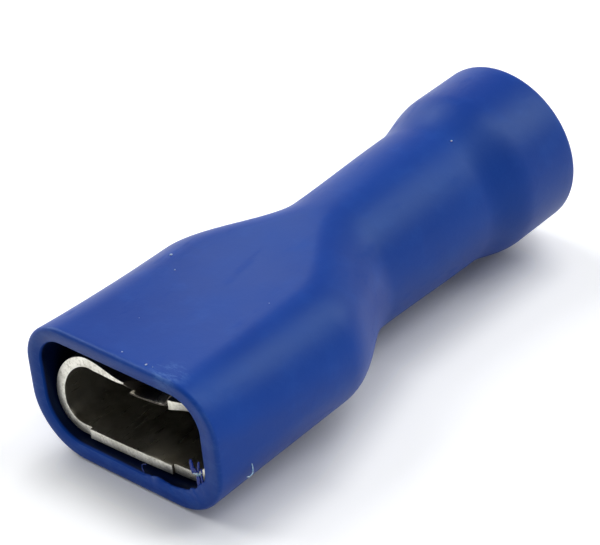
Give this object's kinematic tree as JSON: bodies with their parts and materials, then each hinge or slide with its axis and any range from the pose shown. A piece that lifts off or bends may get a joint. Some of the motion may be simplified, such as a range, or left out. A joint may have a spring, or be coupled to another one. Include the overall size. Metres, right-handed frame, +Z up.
{
  "type": "female spade terminal",
  "caption": "Fully insulated female spade terminal: a folded sheet-metal receptacle with a crimp barrel, inside a moulded blue vinyl sleeve with a flared wire entry.",
  "frame": {"origin": "centre of the bounding box at its base, under the middle of the terminal's length", "axes": "+X along the length, from the mouth that takes the tab to the wire end; +Z up, from the contact's floor to its rolled edges"},
  "size_m": [0.022, 0.0096, 0.0068],
  "materials": {
    "contact": "tin plated, satin",
    "insulating_sleeve": "soft moulded vinyl, satin"
  },
  "bodies": {
    "root": {"contact": "contact", "insulating_sleeve": "insulating_sleeve"}
  },
  "joints": []
}
